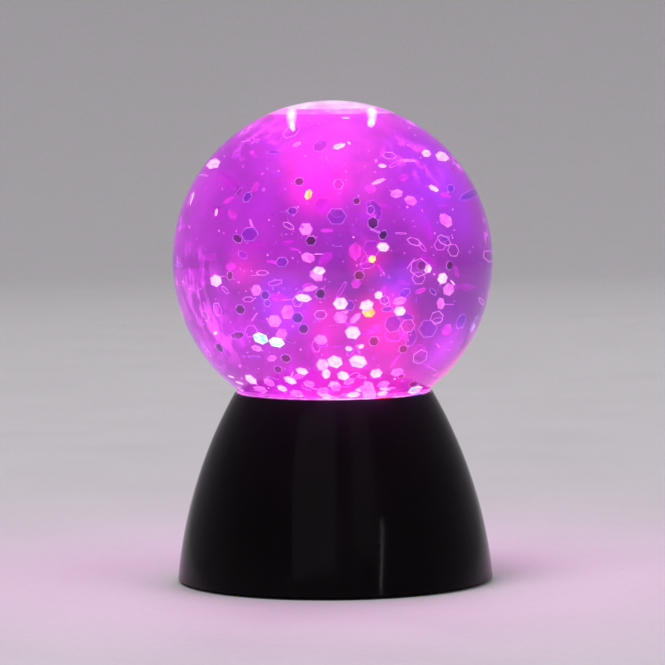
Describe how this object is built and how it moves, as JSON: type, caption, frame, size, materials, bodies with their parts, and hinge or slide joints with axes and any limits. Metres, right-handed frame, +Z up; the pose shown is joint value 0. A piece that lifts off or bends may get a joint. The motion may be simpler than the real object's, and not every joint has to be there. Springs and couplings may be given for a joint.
{
  "type": "glitter water ball lamp",
  "caption": "Clear water-filled globe of drifting glitter on a glossy black tapered base that lights and stirs it, with a slide switch at the back and a battery door below.",
  "frame": {"origin": "middle of the footprint, on the plane that the rubber feet stand on", "axes": "+Z up along the axis of the globe and the base, -Y towards the front that the picture shows, +Y towards the switch at the back"},
  "size_m": [0.1, 0.1, 0.15],
  "materials": {
    "globe_clear": "polished",
    "water": "polished",
    "glitter_foil": "gloss",
    "cap_clear": "gloss",
    "seal_rubber": "satin",
    "nut_black": "satin",
    "gasket_silicone": "gloss",
    "spindle_steel": "polished",
    "stirrer_white": "satin",
    "magnet_nickel": "satin",
    "base_black": "gloss",
    "plate_black": "matte",
    "screw_steel": "satin",
    "foot_rubber": "matte",
    "cell_sleeve": "gloss",
    "contact_nickel": "satin",
    "motor_steel": "satin",
    "bracket_steel": "satin",
    "dish_white": "satin",
    "board_green": "satin",
    "chip_black": "matte",
    "led_blue": "polished",
    "led_red": "polished",
    "switch_steel": "satin",
    "knob_black": "satin",
    "lead_red": "satin",
    "lead_black": "satin"
  },
  "bodies": {
    "base": {"globe": "globe_clear", "globe_cap": "cap_clear", "cap_seal": "seal_rubber", "neck_nut": "nut_black", "seat_gasket": "gasket_silicone", "spindle_pin": "spindle_steel", "spindle_retainer": "stirrer_white", "base_shell": "base_black", "base_plate": "plate_black", "battery_contacts": "contact_nickel", "battery_springs": "contact_nickel", "motor_can": "motor_steel", "motor_bracket": "bracket_steel", "reflector_dish": "dish_white", "led_board": "board_green", "board_resistors": "chip_black", "driver_chip": "chip_black", "switch_body": "switch_steel", "battery_leads": "lead_red", "switch_lead": "lead_red", "motor_leads": "lead_black", "base_screws": "screw_steel", "motor_screws": "screw_steel", "bracket_screws": "screw_steel", "dish_screws": "screw_steel", "board_screws": "screw_steel", "switch_screws": "screw_steel", "battery_cell_1": "cell_sleeve", "battery_cell_2": "cell_sleeve", "battery_cell_3": "cell_sleeve", "foot_1": "foot_rubber", "foot_2": "foot_rubber", "foot_3": "foot_rubber", "foot_4": "foot_rubber", "led_blue_1": "led_blue", "led_blue_2": "led_blue", "led_blue_3": "led_blue", "led_blue_4": "led_blue", "led_red_1": "led_red", "led_red_2": "led_red", "led_red_3": "led_red", "led_red_4": "led_red"},
    "rotor": {"motor_shaft": "spindle_steel", "magnet_carrier": "stirrer_white", "drive_magnets": "magnet_nickel"},
    "stirrer": {"impeller": "stirrer_white", "impeller_magnets": "magnet_nickel"},
    "swirl": {"liquid_fill": "water", "glitter_flakes": "glitter_foil"},
    "switch_knob": {"power_knob": "knob_black"},
    "door": {"battery_door": "plate_black", "door_screw": "screw_steel"}
  },
  "joints": [
    {"name": "rotor_spin", "type": "hinge", "parent": "base", "child": "rotor", "pos_m": [0, 0, 0.0389], "axis": [0, 0, 1], "continuous": true},
    {"name": "stirrer_spin", "type": "hinge", "parent": "base", "child": "stirrer", "pos_m": [0, 0, 0.0462], "axis": [0, 0, 1], "continuous": true},
    {"name": "swirl_spin", "type": "hinge", "parent": "base", "child": "swirl", "pos_m": [0, 0, 0.1], "axis": [0, 0, 1], "continuous": true},
    {"name": "power_slide", "type": "slide", "parent": "base", "child": "switch_knob", "axis": [1, 0, 0], "range_m": [0, 0.004]},
    {"name": "door_hinge", "type": "hinge", "parent": "base", "child": "door", "pos_m": [0.0221, 0, 0.001], "axis": [0, -1, 0], "range_deg": [0, 50]}
  ],
  "couplings": [
    {"joint": "stirrer_spin", "follows": "rotor_spin", "ratio": 1}
  ]
}
